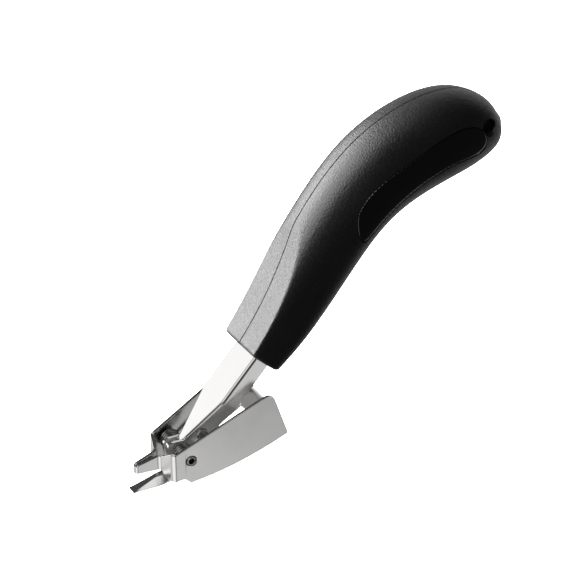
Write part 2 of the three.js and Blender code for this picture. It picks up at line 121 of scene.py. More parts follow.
# The handle's middle plane in the lever frame: back x, z; belly x, z; half width; squareness above, below.
STATIONS = np.array([
    [45, 8.4, 45, -9.8, 12.1, 5, 4],
    [62, 11.6, 60, -12.2, 12.5, 4.4, 3.4],
    [80, 15.6, 77, -12.8, 12.9, 3.4, 2.9],
    [96, 18.6, 93, -12.3, 13.4, 2.7, 2.6],
    [112, 19.9, 107, -12.3, 14, 2.5, 2.4],
    [128, 18.8, 119, -14.2, 14.7, 2.5, 2.3],
    [143.6, 14.3, 130, -18.9, 15.1, 2.5, 2.2],
    [157.6, 6.5, 140, -24.6, 15, 2.5, 2.2],
    [167.6, -3.2, 148.5, -30, 13.9, 2.4, 2.1],
    [172, -13, 156, -33.6, 11.6, 2.2, 2],
    [172.6, -20.6, 162, -34.4, 8.2, 2, 2],
    [171, -26.8, 167.2, -32, 3.6, 2, 2],
])
INLAY_OUTLINE = np.array([
    [103.2, -3.6], [105.6, 3.2], [112, 7.6], [122.5, 7.4], [134.2, 3.4], [146.4, -1.6], [156.4, -7.4],
    [161.8, -15.5], [160, -22.8], [154.2, -23], [147, -16.6], [136.2, -10.3], [124.8, -6.6], [113, -4.9],
])


# ---- curves ----
def spline(knots, at):
    """A natural cubic spline through the rows of knots, read at parameters from 0 to len(knots) - 1."""
    knots = np.asarray(knots, float)
    n = len(knots)
    system, right = np.eye(n), np.zeros_like(knots)
    for i in range(1, n - 1):
        system[i, i - 1:i + 2] = (1, 4, 1)
        right[i] = 6 * (knots[i - 1] - 2 * knots[i] + knots[i + 1])
    bend = np.linalg.solve(system, right)
    at = np.asarray(at, float)
    i = np.clip(at.astype(int), 0, n - 2)
    f = (at - i)[..., None]
    a = 1 - f
    return a * knots[i] + f * knots[i + 1] + ((a**3 - a) * bend[i] + (f**3 - f) * bend[i + 1]) / 6


def closed_spline(knots, count):
    """count points round a closed smooth curve through the knots."""
    wrap = 3
    ring = np.concatenate([knots[-wrap:], knots, knots[:wrap + 1]])
    return spline(ring, wrap + np.arange(count) * len(knots) / count)


def rounded(points, steps=6):
    """A polyline through points (a, b, radius) with each corner rounded; ends keep radius 0."""
    out = []
    points = [tuple(p) + (0,) * (3 - len(p)) for p in points]
    for i, (a, b, radius) in enumerate(points):
        corner = np.array([a, b], float)
        if radius == 0:
            out.append(corner)
            continue
        before = np.array(points[i - 1][:2], float) - corner
        after = np.array(points[(i + 1) % len(points)][:2], float) - corner
        before /= np.linalg.norm(before)
        after /= np.linalg.norm(after)
        half = math.acos(np.clip(before @ after, -1, 1)) / 2
        reach = radius / math.tan(half)
        centre = corner + (before + after) / np.linalg.norm(before + after) * radius / math.sin(half)
        start, end = corner + before * reach - centre, corner + after * reach - centre
        sweep = math.atan2(start[0] * end[1] - start[1] * end[0], start @ end)
        for k in range(steps + 1):
            c, s = math.cos(sweep * k / steps), math.sin(sweep * k / steps)
            out.append(centre + np.array([c * start[0] - s * start[1], s * start[0] + c * start[1]]))
    return np.array(out)


def resample(points, at=None, count=None):
    """Points of a polyline at the given lengths along it, or at count even ones."""
    lengths = np.concatenate([[0], np.cumsum(np.linalg.norm(np.diff(points, axis=0), axis=1))])
    at = np.linspace(0, lengths[-1], count) if at is None else at
    return np.stack([np.interp(at, lengths, points[:, k]) for k in range(points.shape[1])], 1)


def length_of(points):
    return np.linalg.norm(np.diff(points, axis=0), axis=1).sum()


def smoothstep(value):
    value = np.clip(value, 0, 1)
    return value * value * (3 - 2 * value)


def to_sole(x, z):
    c, s = math.cos(OPEN_ANGLE), math.sin(OPEN_ANGLE)
    return x * c - z * s, x * s + z * c


# ---- meshes ----
def mesh_object(name, verts, faces):
    mesh = bpy.data.meshes.new(name)
    mesh.from_pydata([tuple(v) for v in verts], [], [tuple(int(i) for i in f) for f in faces])
    obj = bpy.data.objects.new(name, mesh)
    bpy.context.scene.collection.objects.link(obj)
    return obj


def tidy_normals(obj, merge=1e-4):
    work = bmesh.new()
    work.from_mesh(obj.data)
    bmesh.ops.remove_doubles(work, verts=work.verts, dist=merge)
    bmesh.ops.dissolve_degenerate(work, edges=work.edges, dist=merge)
    bmesh.ops.recalc_face_normals(work, faces=work.faces)
    work.to_mesh(obj.data)
    work.free()
    return obj


def grid_faces(rows, cols, close_rows=False, close_cols=False):
    faces = []
    for r in range(rows if close_rows else rows - 1):
        for c in range(cols if close_cols else cols - 1):
            r2, c2 = (r + 1) % rows, (c + 1) % cols
            faces.append((r * cols + c, r * cols + c2, r2 * cols + c2, r2 * cols + c))
    return faces


def lofted(name, rings):
    """A closed solid over rings of equal length, with flat ends."""
    rings = np.asarray(rings, float)
    rows, cols = rings.shape[:2]
    faces = grid_faces(rows, cols, close_cols=True)
    faces += [tuple(range(cols)), tuple((rows - 1) * cols + i for i in reversed(range(cols)))]
    return tidy_normals(mesh_object(name, rings.reshape(-1, 3), faces))


def plate(name, outline, y0, y1):
    """A side outline (x, z) made into a solid from y0 to y1."""
    return lofted(name, [[(x, y, z) for x, z in outline] for y in (y0, y1)])


def turned(name, at, profile, segments=48):
    """A solid of revolution about the axis along Y at (x, z), from (radius, y) points."""
    rings = []
    for radius, y in profile:
        turn = np.arange(segments) * 2 * math.pi / segments
        rings.append(np.stack([at[0] + radius * np.cos(turn), np.full(segments, float(y)),
                               at[1] + radius * np.sin(turn)], 1))
    return lofted(name, rings)


def apply_modifiers(obj):
    bpy.context.view_layer.update()
    shaped = bpy.data.meshes.new_from_object(obj.evaluated_get(bpy.context.evaluated_depsgraph_get()))
    obj.modifiers.clear()
    obj.data = shaped
    return obj


def combine(obj, other, operation="DIFFERENCE"):
    change = obj.modifiers.new("combine", "BOOLEAN")
    change.operation = operation
    change.solver = "EXACT"
    change.object = other
    apply_modifiers(obj)
    bpy.data.objects.remove(other)
    return obj


def drill(obj, at, radius, segments=48, reach=20):
    """Cuts a round hole along Y through (x, z), reach to either side of the middle plane."""
    return combine(obj, turned("drill", at, [(radius, -reach), (radius, reach)], segments))


def soften(obj, width, segments=3, angle=35):
    """Rounds every edge sharper than angle, and lets the flat faces keep their own normals."""
    bevel = obj.modifiers.new("soften", "BEVEL")
    bevel.width = width
    bevel.segments = segments
    bevel.limit_method = "ANGLE"
    bevel.angle_limit = math.radians(angle)
    bevel.use_clamp_overlap = False
    apply_modifiers(obj)
    smooth(obj, 40)
    weigh = obj.modifiers.new("weigh", "WEIGHTED_NORMAL")
    weigh.keep_sharp = True
    return apply_modifiers(obj)


def smooth(obj, angle=40):
    work = bmesh.new()
    work.from_mesh(obj.data)
    limit = math.radians(angle)
    for face in work.faces:
        face.smooth = True
    for edge in work.edges:
        edge.smooth = len(edge.link_faces) != 2 or edge.calc_face_angle(0) < limit
    work.to_mesh(obj.data)
    work.free()
    return obj


def settle(obj, matrix, material, slot, body, *nodes):
    """Places a finished piece in the row's frame, gives it its material, attaches it to its body and hides
    the CAD nodes it stands in for; with no body it is left unattached.
    """
    obj.data.transform(matrix)
    obj.data.materials.clear()
    obj.data.materials.append(material)
    if body:
        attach(obj, body)
    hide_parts(*nodes)
    return obj


# ---- materials ----
def new_material(name):
    material = bpy.data.materials.new(name)
    material.use_nodes = True
    nodes, links = material.node_tree.nodes, material.node_tree.links
    shader = nodes["Principled BSDF"]
    place = nodes.new("ShaderNodeTexCoord").outputs["Object"]
    return material, nodes, links, shader, place


def stretched(nodes, links, place, scale):
    mapping = nodes.new("ShaderNodeMapping")
    mapping.inputs["Scale"].default_value = scale
    links.new(place, mapping.inputs["Vector"])
    return mapping.outputs["Vector"]


def noise(nodes, links, vector, scale, detail=4.0, roughness=0.5):
    texture = nodes.new("ShaderNodeTexNoise")
    texture.inputs["Scale"].default_value = scale
    texture.inputs["Detail"].default_value = detail
    texture.inputs["Roughness"].default_value = roughness
    links.new(vector, texture.inputs["Vector"])
    return texture.outputs["Fac"]


def spread(nodes, links, value, low, high, from_low=0.3, from_high=0.7):
    remap = nodes.new("ShaderNodeMapRange")
    remap.inputs["From Min"].default_value = from_low
    remap.inputs["From Max"].default_value = from_high
    remap.inputs["To Min"].default_value = low
    remap.inputs["To Max"].default_value = high
    links.new(value, remap.inputs["Value"])
    return remap.outputs["Result"]


def bump(nodes, links, height, strength, distance, under=None):
    node = nodes.new("ShaderNodeBump")
    node.inputs["Strength"].default_value = strength
    node.inputs["Distance"].default_value = distance
    links.new(height, node.inputs["Height"])
    if under:
        links.new(under, node.inputs["Normal"])
    return node.outputs["Normal"]


def tint(nodes, links, factor, dark, light):
    mix = nodes.new("ShaderNodeMix")
    mix.data_type = "RGBA"
    mix.inputs["A"].default_value = (*dark, 1)
    mix.inputs["B"].default_value = (*light, 1)
    links.new(factor, mix.inputs["Factor"])
    return mix.outputs["Result"]


def grained_plastic():
    """Spark-textured black plastic: a fine grain with a slow change of gloss."""
    material, nodes, links, shader, place = new_material("grained_black_plastic")
    grain = noise(nodes, links, place, 2600, 3, 0.6)
    coarse = noise(nodes, links, place, 1500, 0, 0.5)
    slow = noise(nodes, links, place, 45, 3, 0.5)
    mottle = spread(nodes, links, grain, 0, 1)
    colour = tint(nodes, links, mottle, (0.0015, 0.0015, 0.0017), (0.006, 0.006, 0.0065))
    links.new(colour, shader.inputs["Base Color"])
    speckle = nodes.new("ShaderNodeMath")
    speckle.operation = "ADD"
    links.new(spread(nodes, links, slow, 0.27, 0.33), speckle.inputs[0])
    links.new(spread(nodes, links, coarse, 0.09, 0.19), speckle.inputs[1])
    links.new(speckle.outputs["Value"], shader.inputs["Roughness"])
    under = bump(nodes, links, coarse, 0.55, 0.0002)
    links.new(bump(nodes, links, grain, 0.6, 0.00015, under), shader.inputs["Normal"])
    return material


def gloss_plastic():
    """Polished black plastic with faint moulding ripple and hairline scuffs."""
    material, nodes, links, shader, place = new_material("gloss_black_plastic")
    shader.inputs["IOR"].default_value = 1.49
    ripple = noise(nodes, links, place, 120, 2, 0.4)
    hairline = noise(nodes, links, stretched(nodes, links, place, (160, 1800, 2600)), 1, 2, 0.6)
    colour = tint(nodes, links, ripple, (0.0006, 0.0006, 0.0007), (0.0014, 0.0014, 0.0016))
    links.new(colour, shader.inputs["Base Color"])
    links.new(spread(nodes, links, hairline, 0.05, 0.13, 0.45, 0.75), shader.inputs["Roughness"])
    links.new(bump(nodes, links, ripple, 0.05, 0.0004), shader.inputs["Normal"])
    return material


def nickel_steel(name, along):
    """Bright nickel plate over sheet steel; along is how the polishing lines stretch."""
    material, nodes, links, shader, place = new_material(name)
    shader.inputs["Metallic"].default_value = 1.0
    lines = noise(nodes, links, stretched(nodes, links, place, along), 1, 3, 0.6)
    cloud = noise(nodes, links, place, 90, 4, 0.55)
    pits = noise(nodes, links, place, 1400, 2, 0.5)
    colour = tint(nodes, links, cloud, (0.68, 0.675, 0.66), (0.82, 0.815, 0.80))
    links.new(colour, shader.inputs["Base Color"])
    links.new(spread(nodes, links, cloud, 0.16, 0.27), shader.inputs["Roughness"])
    under = bump(nodes, links, cloud, 0.06, 0.0006)
    fine = bump(nodes, links, pits, 0.04, 0.00005, under)
    links.new(bump(nodes, links, lines, 0.08, 0.00003, fine), shader.inputs["Normal"])
    return material


def zinc_steel():
    """Bright zinc plate with the fine ring marks of turning."""
    material, nodes, links, shader, place = new_material("zinc_plated_steel")
    shader.inputs["Metallic"].default_value = 1.0
    grain = noise(nodes, links, place, 1200, 3, 0.6)
    cloud = noise(nodes, links, place, 260, 3, 0.5)
    links.new(tint(nodes, links, cloud, (0.34, 0.34, 0.335), (0.5, 0.5, 0.49)), shader.inputs["Base Color"])
    links.new(spread(nodes, links, grain, 0.24, 0.4), shader.inputs["Roughness"])
    links.new(bump(nodes, links, grain, 0.12, 0.00004), shader.inputs["Normal"])
    return material


def spring_steel():
    """Drawn spring wire: darker, with die lines that run along the turns."""
    material, nodes, links, shader, place = new_material("drawn_spring_wire")
    shader.inputs["Metallic"].default_value = 1.0
    lines = noise(nodes, links, stretched(nodes, links, place, (700, 6000, 700)), 1, 2, 0.5)
    cloud = noise(nodes, links, place, 500, 2, 0.5)
    links.new(tint(nodes, links, cloud, (0.24, 0.24, 0.235), (0.38, 0.38, 0.37)), shader.inputs["Base Color"])
    links.new(spread(nodes, links, lines, 0.18, 0.32), shader.inputs["Roughness"])
    links.new(bump(nodes, links, lines, 0.1, 0.00003), shader.inputs["Normal"])
    return material


# ---- handle ----
def thumb_facet(x):
    along = x - FRONT
    return 6.2 + 0.085 * along + 0.0035 * along * along


def section(t):
    back_x, back_z, belly_x, belly_z, half, upper, lower = spline(STATIONS, t)
    back, belly = np.array([back_x, back_z]), np.array([belly_x, belly_z])
    up = (back - belly) / np.linalg.norm(back - belly)
    return (back + belly) / 2, up, np.linalg.norm(back - belly) / 2, half, upper, lower


def half_ring(t, inset, shrink=1.0, bulge=0.0, seam_edge=SEAM_EDGE):
    """The right half of the handle's section at t, from its back to its belly, drawn in by inset."""
    centre, up, height, half, upper, lower = section(t)
    turn = np.linspace(math.pi / 2, -math.pi / 2, RING_SAMPLES)
    power = 2 / np.where(turn > 0, upper, lower)
    across = (half - inset) * np.cos(turn).clip(0) ** power * shrink
    rise = (height - inset) * np.sign(turn) * np.abs(np.sin(turn)) ** power * shrink
    x = centre[0] + up[0] * rise + up[1] * bulge
    z = centre[1] + up[1] * rise - up[0] * bulge
    top = thumb_facet(x) - inset
    blend = np.clip(ARRIS - np.abs(z - top), 0, None) / ARRIS
    z = np.minimum(z, top) - blend * blend * ARRIS / 4
    curve = np.stack([x, across, z], 1)
    total = length_of(curve)
    reach = min(1.0, total / 8)
    ends = SEAM_STEPS * reach
    middle = np.linspace(ends[-1], total - ends[-1], RING_COLS - 2 * len(ends) + 2)[1:-1]
    ring = resample(curve, np.concatenate([ends, middle, total - ends[::-1]]))
    depth = ring[:, 1]
    edge = seam_edge * reach
    drop = np.where(depth < edge, edge - np.sqrt(np.clip(edge**2 - (edge - depth) ** 2, 0, None)), 0)
    sign = np.where(np.arange(len(ring)) < len(ring) / 2, -1, 1)
    ring[:, 0] += up[0] * drop * sign
    ring[:, 2] += up[1] * drop * sign
    ring[:, 1] = np.maximum(ring[:, 1], SEAM_HALF)
    ring[[0, -1], 1] = SEAM_HALF
    return ring


def port_ring(x):
    """The right half of the opening for the shaft, matched point for point to a handle ring."""
    outline = rounded([(SEAM_HALF, PORT_TOP), (PORT_HALF, PORT_TOP, 2.2), (PORT_HALF, PORT_LOW, 0.6),
                       (SEAM_HALF, PORT_LOW)])
    points = resample(outline, count=RING_COLS)
    return np.stack([np.full(RING_COLS, x), points[:, 0], points[:, 1]], 1)


def handle_shell(side):
    front_edge, dome = 1.6, 1.2
    last = len(STATIONS) - 1
    per_mm = 1 / (STATIONS[1, 0] - FRONT)
    rows = [port_ring(FRONT + 4), port_ring(FRONT + 0.5)]
    mouth, face = port_ring(FRONT), half_ring(0, front_edge)
    grow = (mouth - [FRONT, 0, -1.5]) * [1, 1.03, 1.03] + [FRONT, 0, -1.5]
    grow[:, 1] = np.where(mouth[:, 1] <= SEAM_HALF, SEAM_HALF, grow[:, 1])
    rows += [grow, (grow + face) / 2]
    for angle in np.linspace(0, math.pi / 2, FRONT_ROWS):
        start, drawn_in = front_edge * (1 - math.cos(angle)), front_edge * (1 - math.sin(angle))
        rows.append(half_ring(start * per_mm, drawn_in))
    first = front_edge * per_mm
    rows += [half_ring(t, 0) for t in first + (last - first) * np.arange(1, BODY_ROWS + 1) / BODY_ROWS]
    closed = 0.002
    for angle in np.arange(1, TAIL_ROWS + 1) / TAIL_ROWS * math.pi / 2:
        rows.append(half_ring(last, 0, shrink=max(math.cos(angle), closed), bulge=dome * math.sin(angle)))
    inner_t = np.linspace(last * 0.86, per_mm * 5, INNER_ROWS)
    rows.append(half_ring(inner_t[0], WALL, shrink=closed, seam_edge=0.01))
    rows += [half_ring(t, WALL, seam_edge=0.01) for t in inner_t]
    rows.append(port_ring(FRONT + 4.4))
    rings = np.array(rows) * [1, side, 1]
    count = len(rings)
    faces = grid_faces(count, RING_COLS, close_rows=True)
    top = [r * RING_COLS for r in range(count)]
    bottom = [r * RING_COLS + RING_COLS - 1 for r in reversed(range(count))]
    obj = mesh_object(("right" if side > 0 else "left") + "_handle_shell_visual", rings.reshape(-1, 3),
                      faces + [top, bottom])
    tidy_normals(obj)
    combine(obj, inlay_solid("pocket", side, 0.0, -1.2, 3.0, 0.22, mouth=0.3))
    combine(obj, turned("hang", HANG_HOLE, hang_profile(side)))
    if side > 0:
        for at, seat in SCREWS.values():
            pocket = HEAD_RADIUS + HEAD_GAP
            skin = surface_y(np.array([at[0]]), np.array([at[1]]))[0]
            flare = 0.35
            combine(obj, turned("bore", at, [(pocket, seat), (pocket, skin - flare),
                                             (pocket + flare, skin + 0.02), (pocket + flare, skin + 3)]))
    return smooth(obj, 33)


def hang_profile(side):
    """The profile of the hang hole, which flares into a dish where it meets the handle's side."""
    skin = surface_y(np.array([HANG_HOLE[0]]), np.array([HANG_HOLE[1]]))[0]
    dish_start = skin - 2.4
    profile = [(HANG_RADIUS, -0.5), (HANG_RADIUS, dish_start)]
    for angle in np.arange(1, 7) / 6 * math.radians(62):
        profile.append((HANG_RADIUS + 2.2 * (1 - math.cos(angle)), dish_start + 2.6 * math.sin(angle)))
    profile.append((profile[-1][0] + 1.2, skin + 3))
    profile = [(radius, side * y) for radius, y in profile]
    return profile if side > 0 else profile[::-1]


def surface_y(x, z):
    """Half the handle's width at points (x, z) of its middle plane."""
    stations = np.linspace(0, len(STATIONS) - 1, 1500)
    rows = spline(STATIONS, stations)
    back, belly = rows[:, 0:2], rows[:, 2:4]
    centre, span = (back + belly) / 2, back - belly
    height = np.linalg.norm(span, axis=1) / 2
    up = span / (2 * height)[:, None]
    out = []
    for px, pz in zip(x, z):
        offset = np.array([px, pz]) - centre
        cross = offset[:, 0] * up[:, 1] - offset[:, 1] * up[:, 0]
        rise = (offset * up).sum(1)
        fits = np.abs(rise) < height + 4
        change = np.where(fits[:-1] & fits[1:] & (cross[:-1] * cross[1:] <= 0))[0]
        i = change[0] if len(change) else int(np.argmin(np.abs(cross) + 100 * ~fits))
        ratio = np.clip(np.abs(rise[i]) / height[i], 0, 0.999)
        power = rows[i, 5] if rise[i] > 0 else rows[i, 6]
        out.append(rows[i, 4] * (1 - ratio**power) ** (1 / power))
    return np.array(out)


def spanned(ring, count, share):
    """A grid of points that spans a ring from its upper side to its lower side."""
    upper, lower = ring[:count + 1], np.concatenate([ring[:1], ring[:count - 1:-1]])
    return upper[:, None] * (1 - share[None, :, None]) + lower[:, None] * share[None, :, None]


def inlay_solid(name, side, top, bottom, reach, edge, grow=0.0, mouth=0.0):
    """A solid that follows the handle's side inside the inlay's outline.

    Its outer face lies top above the handle's surface and rolls off by edge; with mouth, its sides
    flare out past the surface to reach instead, which makes it a cutter with a chamfered mouth.
    """
    count, across = 96, 13
    curve = closed_spline(INLAY_OUTLINE, 2 * count)
    tangent = np.roll(curve, -1, 0) - np.roll(curve, 1, 0)
    normal = np.stack([-tangent[:, 1], tangent[:, 0]], 1) / np.linalg.norm(tangent, axis=1)[:, None]
    ring = curve + normal * grow
    share = (1 - np.cos(np.linspace(0, math.pi, across))) / 2
    sheet = spanned(ring, count, share)
    flat = sheet.reshape(-1, 2)
    width = surface_y(flat[:, 0], flat[:, 1]).reshape(sheet.shape[:2])
    away = np.min(np.linalg.norm(sheet[:, :, None] - ring[None, None, ::2], axis=3), axis=2)
    roll = edge - np.sqrt(np.clip(edge**2 - np.clip(edge - away, 0, None) ** 2, 0, None))
    if mouth:
        floor = np.dstack([sheet[..., 0], width + bottom, sheet[..., 1]])
        rim = surface_y(ring[:, 0], ring[:, 1])
        wide = ring + normal * mouth
        levels = [np.stack([ring[:, 0], rim + bottom, ring[:, 1]], 1),
                  np.stack([ring[:, 0], rim - mouth, ring[:, 1]], 1),
                  np.stack([wide[:, 0], surface_y(wide[:, 0], wide[:, 1]) + 0.02, wide[:, 1]], 1),
                  np.stack([wide[:, 0], rim + reach, wide[:, 1]], 1)]
        cover = spanned(wide, count, share)
        lid = np.dstack([cover[..., 0], width + reach, cover[..., 1]])
        parts = [floor.reshape(-1, 3), *levels, lid.reshape(-1, 3)]
    else:
        face = np.dstack([sheet[..., 0], width + top - roll, sheet[..., 1]])
        back = np.dstack([sheet[..., 0], width + bottom, sheet[..., 1]])
        parts = [back.reshape(-1, 3), boundary(back), boundary(face), face.reshape(-1, 3)]
    verts, faces, start = [], [], 0
    for k, part in enumerate(parts):
        if k in (0, len(parts) - 1):
            faces += [tuple(start + i for i in f) for f in grid_faces(count + 1, across)]
        verts.append(part)
        start += len(part)
    loops, start = [], 0
    for k, part in enumerate(parts):
        if 0 < k < len(parts) - 1:
            loops.append((start, len(part)))
        start += len(part)
    for (a, n), (b, _) in zip(loops, loops[1:]):
        faces += [(a + i, a + (i + 1) % n, b + (i + 1) % n, b + i) for i in range(n)]
    verts = np.concatenate(verts) * [1, side, 1]
    return tidy_normals(mesh_object(name, verts, faces), 2e-3)


def boundary(sheet):
    """The points round the edge of an inlay's sheet, tip to tip and back."""
    return np.concatenate([sheet[:, 0], sheet[-2:0:-1, -1]])


def grip_inlay(side):
    name = ("right" if side > 0 else "left") + "_grip_inlay_visual"
    return smooth(inlay_solid(name, side, -0.05, -0.95, 0, 0.8, grow=-0.15), 50)


# ---- shoe ----
def quadratic(a, control, b, steps=10):
    t = np.linspace(0, 1, steps + 1)[:, None]
    a, control, b = (np.array(p, float) for p in (a, control, b))
    return (1 - t) ** 2 * a + 2 * t * (1 - t) * control + t**2 * b


def plate_heights(x):
    """Lowest and highest z of the side plates at x."""
    top = np.concatenate([[[-6.2, 3.3], [-5.6, 3.6]],
                          quadratic((27.7, 19.8), (32.2, 22.2), (33.4, 18.4), 16),
                          [[HEEL[0], HEEL[1] + 1.3]]])
    low = np.concatenate([[[-9, -8], [-6.1, -8]], quadratic((-3.6, -7.5), (-2, -7.5), (-1.2, -8.8)),
                          quadratic((-1.2, -8.8), (-0.6, -9.8), (1.2, -9.2))[1:],
                          quadratic((1.2, -9.2), (19.4, -6), HEEL, 30)[1:]])
    return np.interp(x, low[:, 0], low[:, 1]), np.interp(x, top[:, 0], top[:, 1])


def shoe():
    rear_half = SHOE_HALF + (HEEL[0] - SHOE_FRONT) * SHOE_SPLAY
    right = [(BEAK_NOSE, 1.5, 1.35), (BEAK_ROOT, 2.5, 1.7),
             (SHOE_FRONT, SHOE_HALF, 2.3), (HEEL[0], rear_half)]
    path = rounded([(x, -y, *r) for x, y, *r in reversed(right)] + right, 10)
    total = length_of(path)
    fine = np.linspace(0, total, 2600)
    points = resample(path, fine)
    corner = (np.abs(points[:, 0] - 31) < 3.5) | (points[:, 0] < 2) | (points[:, 0] > 36.6)
    weight = np.cumsum(np.where(corner, 4.0, 1.0))
    keep = np.interp(np.linspace(weight[0], weight[-1], 330), weight, fine)
    outer = resample(path, keep)
    tangent = np.gradient(resample(path, fine), axis=0)
    tangent = np.stack([np.interp(keep, fine, tangent[:, k]) for k in (0, 1)], 1)
    tangent /= np.linalg.norm(tangent, axis=1)[:, None]
    inner = outer + np.stack([tangent[:, 1], -tangent[:, 0]], 1) * SHEET
    side = np.where(np.arange(len(outer)) < len(outer) / 2, -1.0, 1.0)
    inner[:, 1] = side * np.maximum(inner[:, 1] * side, BEAK_SLOT_HALF)
    nose = outer[:, 0] < BEAK_NOSE + SHEET
    inner[nose, 0] = BEAK_NOSE + SHEET
    inner[nose, 1] = outer[nose, 1] * BEAK_SLOT_HALF / np.abs(outer[nose, 1]).max()
    x, y = outer[:, 0], np.abs(outer[:, 1])
    low, high = plate_heights(x)
    shoulder = x < SHOE_FRONT + 1.5
    rise = smoothstep((y - 2.6) / 6.6)
    beak_top = np.interp(x, [BEAK_NOSE, BEAK_NOSE + 1, BEAK_ROOT], [BEAK_TOP - 0.5, BEAK_TOP + 0.15, 0.5])
    high = np.where(shoulder, beak_top + (3.45 - 0.5) * rise, high)
    low = np.where(shoulder, np.interp(y, [3.2, 3.9, 4.9, 5.6], [BEAK_BOTTOM, -6.0, -7.6, -8.0]), low)
    columns = [[(*a, bottom), (*a, top), (*b, top), (*b, bottom)]
               for a, b, bottom, top in zip(outer, inner, low, high)]
    body = lofted("shoe_visual", columns)
    web_half = SHOE_HALF + (WEB_X - SHOE_FRONT) * SHOE_SPLAY - SHEET / 2
    web_outline = [(-web_half, WEB_LOW), (web_half, WEB_LOW), (web_half, WEB_HIGH)]
    notch = 1.2
    for y in (LEG_Y, -LEG_Y):
        web_outline += [(y + notch, WEB_HIGH), (y + notch, WEB_NOTCH)]
        web_outline += [(y - notch, WEB_NOTCH), (y - notch, WEB_HIGH)]
    web_outline.append((-web_half, WEB_HIGH))
    web = lofted("web", [[(x, y, z) for y, z in web_outline] for x in (WEB_X, WEB_X + SHEET)])
    combine(body, web, "UNION")
    drill(body, (0, 0), PIN_RADIUS + HOLE_CLEARANCE)
    return soften(body, 0.26)


# ---- lever ----
def arc(side, half, top, radius, steps=7):
    turn = np.linspace(0, math.pi / 2, steps)
    return [(side * (half - radius + radius * math.cos(a)), top - radius + radius * math.sin(a))
            for a in turn]


def channel_ring(x, half):
    inner, inner_top = half - STEEL, SHAFT_TOP - STEEL
    bend = min(SHAFT_BEND, half - 0.2)
    ring = [(-half, SHAFT_LOW)] + arc(-1, half, SHAFT_TOP, bend) + arc(1, half, SHAFT_TOP, bend)[::-1]
    ring += [(half, SHAFT_LOW), (inner, SHAFT_LOW)]
    ring += arc(1, inner, inner_top, 0.6) + arc(-1, inner, inner_top, 0.6)[::-1] + [(-inner, SHAFT_LOW)]
    return [(x, y, z) for y, z in ring]


def lever_shaft():
    stations = np.concatenate([[NECK_START, NECK_END - 1], np.linspace(NECK_END, TAPER_END + 2, 26),
                               [36, 60, TANG_END]])
    share = (stations - NECK_END) / (TAPER_END - NECK_END)
    halves = NECK_HALF + (SHAFT_HALF - NECK_HALF) * np.clip(share, 0, 1)
    body = lofted("lever_shaft_visual", [channel_ring(x, half) for x, half in zip(stations, halves)])
    stop = SHOE_FRONT + SHEET + 0.3
    cheek = rounded([(stop, 3.2, 1.2), (stop, 0.2, 0.5), (-4.1, -5.6, 0.6), (-0.8, -7.2, 1.5),
                     (4.4, -3.4, 1.5), to_sole(5.5, SHAFT_LOW + 0.01), to_sole(5.5, SHAFT_TOP - 2),
                     (-3.6, 4.2, 0.8)])
    c, s = math.cos(OPEN_ANGLE), math.sin(OPEN_ANGLE)
    cheek = np.stack([cheek[:, 0] * c + cheek[:, 1] * s, cheek[:, 1] * c - cheek[:, 0] * s], 1)
    for side in (-1, 1):
        edges = sorted((side * (NECK_HALF - 0.02), side * (NECK_HALF - STEEL + 0.02)))
        combine(body, plate("cheek", cheek, *edges), "UNION")
    drill(body, (0, 0), PIN_RADIUS + HOLE_CLEARANCE)
    drill(body, RIVET_AT, RIVET_RADIUS + 0.1, 32)
    for name in ("front_screw", "middle_screw"):
        drill(body, SCREWS[name][0], 2.7, 32)
    return soften(body, 0.22)


def lower_jaw():
    """A wedge with chamfered sides that sweeps up into the tang between the cheeks."""
    stations = [
        # x, sole, edge height, top, half width of the top
        (JAW_TIP, JAW_SOLE, 0.12, JAW_SOLE + 0.3, 2.1),
        (-17, JAW_SOLE, 0.3, -11.45, 1.75),
        (-14, JAW_SOLE, 0.45, -10.4, 1.45),
        (-11.2, JAW_SOLE, 0.6, -9.4, 1.2),
        (-9.8, JAW_SOLE, 0.7, -8.95, 1.25),
        (-7.6, JAW_SOLE + 0.1, 0.9, -8.7, 1.5),
        (-5.8, JAW_SOLE + 0.45, 1.2, -8.1, 1.8),
        (-4.2, JAW_SOLE + 1.0, 1.4, -6.7, 2.0),
        (-2.6, JAW_SOLE + 1.55, 1.5, -6.9, 2.05),
        (-1, -10.8, 1.5, -7.6, 2.05),
        (0.9, -8.9, 0.4, -7.95, 2.05),
    ]
    rows = spline(np.array(stations), np.linspace(0, len(stations) - 1, 56))
    rings = []
    for x, sole, edge, top, top_half in rows:
        shoulder = sole + edge
        rings.append([(x, -JAW_HALF, sole), (x, JAW_HALF, sole), (x, JAW_HALF, shoulder),
                      (x, top_half, top), (x, -top_half, top), (x, -JAW_HALF, shoulder)])
    body = lofted("lower_jaw_visual", rings)
    top = SHAFT_TOP - STEEL - 0.3
    stop = SHOE_FRONT + SHEET + 0.8
    tang = rounded([(stop, 3.2, 1), (stop, 0.2), (-3.6, -7.9), (-0.5, -8), (4, -3.4, 1),
                    to_sole(13, SHAFT_LOW + 0.6), to_sole(13, top), to_sole(NECK_START - 0.4, top),
                    to_sole(NECK_START - 0.4, 3.2)])
    combine(body, plate("tang", tang, -0.8, 0.8), "UNION")
    drill(body, (0, 0), PIN_RADIUS + HOLE_CLEARANCE, reach=5)
    drill(body, to_sole(*RIVET_AT), RIVET_RADIUS + 0.1, 32, reach=5)
    return soften(body, 0.16)


def jaw_rivet():
    inner, outer = 4.9, 5.8
    dome = [(2.2 * math.cos(a), inner + 0.15 + (outer - inner - 0.15) * math.sin(a))
            for a in np.linspace(0, math.radians(80), 7)]
    profile = [(RIVET_RADIUS, inner), (2.2, inner)] + dome
    return smooth(turned("jaw_rivet_visual", RIVET_AT, [(r, -y) for r, y in reversed(profile)] + profile), 45)


